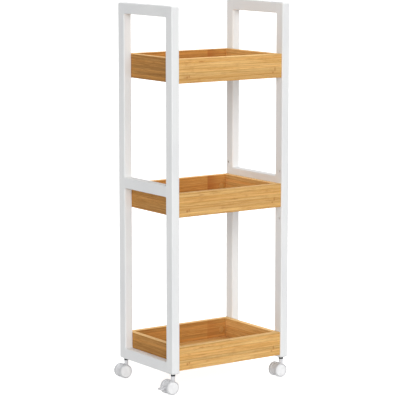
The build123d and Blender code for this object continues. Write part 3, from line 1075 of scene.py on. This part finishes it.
@dataclass(frozen=True)
class TwinWheelCasters:
    """The four casters: hoods, wheels with ribs, stem nuts, washers and two foot brakes."""

    stem_x: float = 150.0
    stem_y: float = 96.0
    trail: float = 9.0
    axle_height: float = 16.0
    nut_bottom: float = 40.0
    washer_bottom: float = 39.2
    # radius, height, bore radius and chamfer
    washer: tuple[float, float, float, float] = (5.4, 0.8, 3.0, 0.15)
    wheel_radius: float = 16.0
    outer_face: float = 14.8
    inner_face: float = 7.3
    hub_face: float = 7.1
    hub_radius: float = 5.7
    web_inner: float = 12.0
    rim_inner: float = 13.2
    bore: float = 2.05
    bore_depth: float = 13.05
    ring_radius: float = 14.3
    groove: Point = (0.9, 1.6)
    # radii on the disc and how deep it lies there, from its edge to its middle
    disc_profile: tuple[Point, ...] = (
        (9.0, 0.2), (5.6, 0.28), (5.2, 0.36), (4.9, 0.55),
        (4.4, 0.58), (3.0, 0.42), (1.2, 0.34), (0.0, 0.33),
    )
    tread_round: float = 1.2
    # the tread's inner edge is rounded less than its outer one
    inner_round_share: float = 0.4
    arc_steps: int = 8
    facets: int = 112
    rib_count: int = 12
    rib_width: float = 0.9
    rib_height: float = 0.9
    # how far a rib's foot sinks into what it stands on
    rib_sink: float = 0.05
    pedal_rib: Place = (0.8, 11.0, 0.5)
    pedal_rib_places: tuple[float, ...] = (-35.4, -33.6, -31.8, -30.0)
    pedal_slope_top: Point = (17.4, 15.9)
    pedal_ends: Point = (-27.6, -37.2)
    braked: tuple[Corner, ...] = (Corner.FRONT_LEFT, Corner.REAR_RIGHT)

    def wheel_outline(self) -> list[Point]:
        """Give the wheel's closed outline.

        Returns:
            Points of radius and distance from the caster's middle, from the bore's mouth round
            the hub, the ribbed side, the tread and the dished face to the axis.
        """
        face = self.outer_face
        outline: list[Point] = [
            (self.bore + 0.25, self.hub_face),
            (self.hub_radius - 0.2, self.hub_face),
            (self.hub_radius, self.hub_face + 0.2),
            (self.hub_radius + 0.15, self.web_inner - 0.3),
            (self.hub_radius + 0.45, self.web_inner),
            (self.rim_inner - 0.3, self.web_inner),
            (self.rim_inner, self.web_inner - 0.3),
            (self.rim_inner + 0.1, self.inner_face + 0.2),
            (self.rim_inner + 0.3, self.inner_face),
        ]
        small = self.tread_round * self.inner_round_share
        for radius, centre, start in (
            (small, self.inner_face + small, 180.0),
            (self.tread_round, face - self.tread_round, 90.0),
        ):
            for step in range(self.arc_steps + 1):
                angle = math.radians(start - 90 * step / self.arc_steps)
                across = centre + radius * math.cos(angle)
                outline.append((self.wheel_radius - radius + radius * math.sin(angle), across))
        groove_width, groove_depth = self.groove
        disc_radius = self.ring_radius - groove_width
        dish = [
            (self.ring_radius + 0.35, face),
            (self.ring_radius + 0.1, face - 0.15),
            (self.ring_radius, face - groove_depth + 0.2),
            (self.ring_radius - 0.2, face - groove_depth),
            (disc_radius + 0.2, face - groove_depth),
            (disc_radius, face - groove_depth + 0.2),
            (disc_radius - 0.1, face - 0.3),
            (disc_radius - 0.45, face - 0.12),
        ]
        dish += [(radius, face - depth) for radius, depth in self.disc_profile]
        bore = [
            (0.0, self.bore_depth + 0.2),
            (self.bore * 0.55, self.bore_depth + 0.15),
            (self.bore, self.bore_depth - 0.6),
            (self.bore, self.hub_face + 0.3),
        ]
        return outline + dish + bore

    def axle_middle(self, corner: Corner) -> Place:
        """Give the middle of a caster's axle at rest.

        Args:
            corner: The caster.

        Returns:
            The place, in millimetres.
        """
        side, end = corner.value
        return (side * self.stem_x - self.trail, end * self.stem_y, self.axle_height)

    def wheel_mesh(self, corner: Corner, out: int, ribs: Mesh) -> Mesh:
        """Turn the outline about the axle.

        Args:
            corner: The caster.
            out: Which way the wheel faces along Y, -1 or 1.
            ribs: A mesh that is joined to the wheel.

        Returns:
            The wheel's mesh, in place.
        """
        middle = Vector(self.axle_middle(corner))
        outline = self.wheel_outline()
        work = bmesh.new()
        rings = []
        for radius, across in outline:
            turns = self.facets if radius > 0 else 1
            ring = []
            for step in range(turns):
                angle = math.tau * step / self.facets
                offset = Vector((radius * math.cos(angle), out * across, radius * math.sin(angle)))
                ring.append(work.verts.new((middle + offset) * MM))
            rings.append(ring)
        for first, second in zip(rings, rings[1:] + rings[:1]):
            if len(first) == 1 and len(second) == 1:
                continue
            for step in range(self.facets):
                after = (step + 1) % self.facets
                corners = [first[step % len(first)], first[after % len(first)]]
                corners += [second[after % len(second)], second[step % len(second)]]
                work.faces.new(list(dict.fromkeys(corners)))
        bmesh.ops.recalc_face_normals(work, faces=work.faces)
        work.from_mesh(ribs)
        mesh = bpy.data.meshes.new("wheel")
        work.to_mesh(mesh)
        work.free()
        return mesh

    def wheel_ribs(self, corner: Corner, out: int, nylon: Material) -> Mesh:
        """Make the low stiffening ribs on a wheel's hidden side.

        Args:
            corner: The caster.
            out: Which way the wheel faces along Y, -1 or 1.
            nylon: Their finish.

        Returns:
            Their mesh, in place.
        """
        middle = self.axle_middle(corner)
        first, last = self.hub_radius + 0.5, self.rim_inner - 0.4
        radius = (first + last) / 2
        places = []
        turns = []
        for step in range(self.rib_count):
            angle = math.tau * step / self.rib_count
            x = middle[0] + radius * math.cos(angle)
            z = middle[2] + radius * math.sin(angle)
            places.append((x, middle[1] + out * (self.web_inner + self.rib_sink), z))
            turns.append(self.rib_turn(angle, out))
        ribs = RibSet("wheel_ribs", last - first, self.rib_width, self.rib_height)
        return ribs.mesh(places, turns, nylon)

    def rib_turn(self, angle: float, out: int) -> Place:
        """Give the turn that lays a rib along a spoke and stands it towards the caster's middle.

        Args:
            angle: The spoke's angle about the axle.
            out: Which way the wheel faces along Y, -1 or 1.

        Returns:
            The turn about X, Y and Z, in radians.
        """
        along = Vector((math.cos(angle), 0, math.sin(angle)))
        up = Vector((0, -out, 0))
        basis = Matrix((along, up.cross(along), up)).transposed()
        return tuple(basis.to_euler("XYZ"))

    def wheels(self) -> None:
        """Make the eight wheels."""
        for corner in Corner:
            axle_x, _, axle_z = self.axle_middle(corner)
            title = f"Nylon, injection-moulded white, {corner.word.replace('_', ' ')} wheels"
            disc_radius = self.ring_radius - self.groove[0]
            nylon = WheelNylon(
                title, axle_x=axle_x, axle_z=axle_z, groove_radii=(disc_radius, self.ring_radius)
            ).material()
            for number, out in ((1, -1), (2, 1)):
                mesh = self.wheel_mesh(corner, out, self.wheel_ribs(corner, out, nylon))
                wear_one(mesh, nylon)
                body = f"{corner.word}_wheel_{number}"
                stands_for = [f"{corner.word}_caster_wheel_{number}"]
                settle(smooth_piece(body, mesh), body, stands_for)

    def stem_parts(self, black: Material, nylon: Material) -> None:
        """Make the nuts and washers on the stems.

        Args:
            black: The nuts' finish.
            nylon: The washers' finish.
        """
        nut = HexNutSet()
        stems = [(side * self.stem_x, end * self.stem_y) for side, end in (c.value for c in Corner)]
        nut_places = [(x, y, self.nut_bottom + nut.height / 2) for x, y in stems]
        up = [(0.0, 0.0, 1.0)] * len(stems)
        settle(nut.make(nut_places, up, black), "cart", ["caster_nuts"])
        washer = RoundSet("thrust_washers", *self.washer)
        washer_places = [(x, y, self.washer_bottom) for x, y in stems]
        settle(washer.make(washer_places, up, nylon), "cart", ["caster_washers"])

    def pedal_ribs(self, nylon: Material) -> None:
        """Make the grip ribs across the brake pedals.

        Args:
            nylon: Their finish.
        """
        (high, low), (start, tip) = self.pedal_slope_top, self.pedal_ends
        slope = math.atan2(high - low, start - tip)
        for corner in self.braked:
            side, end = corner.value
            places = []
            turns = []
            for x in self.pedal_rib_places:
                z = high + (x - start) * (high - low) / (start - tip)
                places.append((side * self.stem_x + x, end * self.stem_y, z - self.rib_sink))
                turns.append((0.0, -slope, 0.0))
            ribs = RibSet(f"{corner.word}_pedal_ribs", *self.pedal_rib)
            settle(ribs.make(places, turns, nylon), f"{corner.word}_brake")

    def build(self, black: Material) -> None:
        """Make and dress every caster piece.

        Args:
            black: The nuts' finish.
        """
        nylon = MouldedPlastic("Nylon, injection-moulded white").material()
        # a greyer copy of the white nylon for the hoods, brake levers and pedal ribs: painted shade
        # for the hood's barrel, which faces away from the light
        painted_shade_hood_nylon = MouldedPlastic(
            "Nylon, injection-moulded pale grey", tone="#dedee0", second_tone="#d5d5d8"
        ).material()
        dress([f"{corner.word}_caster_hood" for corner in Corner], painted_shade_hood_nylon)
        dress([f"{corner.word}_brake_lever" for corner in self.braked], painted_shade_hood_nylon)
        self.wheels()
        self.stem_parts(black, nylon)
        self.pedal_ribs(painted_shade_hood_nylon)


# ---- studio ----
@dataclass(frozen=True)
class Studio:
    """Pale floor, soft light and the camera. Lengths here are metres."""

    camera_place: Place = (-2.5502, -3.6626, 1.0836)
    camera_yaw_deg: float = 34.739
    camera_pitch_deg: float = 8.5715
    lens_mm: float = 178.37
    sensor_mm: float = 36.0
    floor_half: float = 60.0
    floor_tone: str = "#bcbcbc"
    floor_glow: float = 0.90
    floor_roughness: float = 0.9
    backdrop_radius: float = 30.0
    backdrop_facets: int = 48
    backdrop_glow: float = 1.1
    sky_tone: str = "#ffffff"
    sky_strength: float = 0.41
    lights: tuple[tuple[str, float, Place], ...] = (
        ("key", 2.00, (-0.55, -0.80, 0.25)),
        ("fill", 0.60, (0.60, -0.80, 0.90)),
        ("top", 1.80, (0.25, 0.30, 0.90)),
    )
    light_spread_deg: float = 45.0

    def staged(self, name: str, work: bmesh.types.BMesh, finish: str, glow: float) -> Object:
        """Make a plain pale surface that doesn't throw light back on the cart.

        Args:
            name: The surface's name.
            work: Its shape, which is used up.
            finish: Its material's name.
            glow: How brightly it shines by itself.

        Returns:
            The surface.
        """
        mesh = bpy.data.meshes.new(name)
        work.to_mesh(mesh)
        work.free()
        surface = bpy.data.objects.new(name, mesh)
        bpy.context.scene.collection.objects.link(surface)
        material = bpy.data.materials.new(finish)
        material.use_nodes = True
        shader = material.node_tree.nodes["Principled BSDF"]
        for name, value in (
            ("Base Color", linear(self.floor_tone)),
            ("Roughness", self.floor_roughness),
            ("Specular IOR Level", 0.0),
            ("Emission Color", linear(self.sky_tone)),
            ("Emission Strength", glow),
        ):
            shader.inputs[name].default_value = value
        mesh.materials.append(material)
        surface.visible_diffuse = False
        return surface

    def floor(self) -> None:
        """Lay the plain pale floor."""
        work = bmesh.new()
        reach = self.floor_half
        corners = ((-reach, -reach), (reach, -reach), (reach, reach), (-reach, reach))
        work.faces.new([work.verts.new((x, y, 0.0)) for x, y in corners])
        self.staged("studio_floor", work, "Painted studio floor, rolled matt", self.floor_glow)

    def backdrop(self) -> None:
        """Hang a plain pale backdrop all round, which lets the lights through."""
        work = bmesh.new()
        bmesh.ops.create_uvsphere(
            work,
            u_segments=self.backdrop_facets,
            v_segments=self.backdrop_facets // 2,
            radius=self.backdrop_radius,
        )
        finish = "Seamless paper, matt white"
        backdrop = self.staged("studio_backdrop", work, finish, self.backdrop_glow)
        backdrop.visible_glossy = False
        backdrop.visible_shadow = False

    def light(self) -> None:
        """Set an even pale surround and the three broad lights: key, fill and top."""
        world = bpy.data.worlds.new("studio surround")
        world.use_nodes = True
        back = world.node_tree.nodes["Background"]
        back.inputs["Color"].default_value = linear(self.sky_tone)
        back.inputs["Strength"].default_value = self.sky_strength
        bpy.context.scene.world = world
        for name, strength, toward in self.lights:
            data = bpy.data.lights.new(name, "SUN")
            data.energy = strength
            data.angle = math.radians(self.light_spread_deg)
            lamp = bpy.data.objects.new(name, data)
            lamp.rotation_euler = Vector(toward).to_track_quat("Z", "Y").to_euler()
            bpy.context.scene.collection.objects.link(lamp)
        bpy.context.scene.view_settings.view_transform = "Standard"

    def camera(self) -> None:
        """Set the camera a little above the top rails, looking down at the cart."""
        data = bpy.data.cameras.new("camera")
        data.lens = self.lens_mm
        data.sensor_width = self.sensor_mm
        data.clip_end = 2 * self.floor_half
        camera = bpy.data.objects.new("camera", data)
        camera.location = self.camera_place
        yaw, pitch = math.radians(self.camera_yaw_deg), math.radians(self.camera_pitch_deg)
        level = math.cos(pitch)
        ahead = Vector((math.sin(yaw) * level, math.cos(yaw) * level, -math.sin(pitch)))
        camera.rotation_euler = ahead.to_track_quat("-Z", "Y").to_euler()
        bpy.context.scene.collection.objects.link(camera)
        bpy.context.scene.camera = camera

    def build(self) -> None:
        """Make the whole studio."""
        self.floor()
        self.backdrop()
        self.light()
        self.camera()


def main() -> None:
    """Build every class in order."""
    logging.basicConfig(level=logging.INFO, format="%(name)s: %(message)s")
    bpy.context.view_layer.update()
    steel = PlatedSteel("Steel, zinc-plated and cleared").material()
    zinc = PlatedSteel(
        "Zinc, die-cast and tumbled", tone="#a9aaab", second_tone="#8b8c8d", roughness=(0.42, 0.58)
    ).material()
    black = PlatedSteel(
        "Steel, black oxide", tone="#34363a", second_tone="#232426", roughness=(0.34, 0.5)
    ).material()
    cap_plastic = MouldedPlastic(
        "ABS, moulded bamboo brown", tone="#c0914f", second_tone="#b88847"
    ).material()
    drilled = RawBeech(
        "Beech, drilled and sprayed over", Run.ALONG_X_FLAT, tone="#dad7d1", second_tone="#c2bdb4"
    ).material()
    frames = SideFrames()
    frames.dress_wood()
    frames.hole_liners(drilled)
    trays = BambooTrays()
    trays.dress_boards()
    trays.cam_caps(cap_plastic)
    HiddenFittings().dress_all(steel, zinc)
    TwinWheelCasters().build(black)
    Studio().build()


if __name__ == "__main__":
    main()
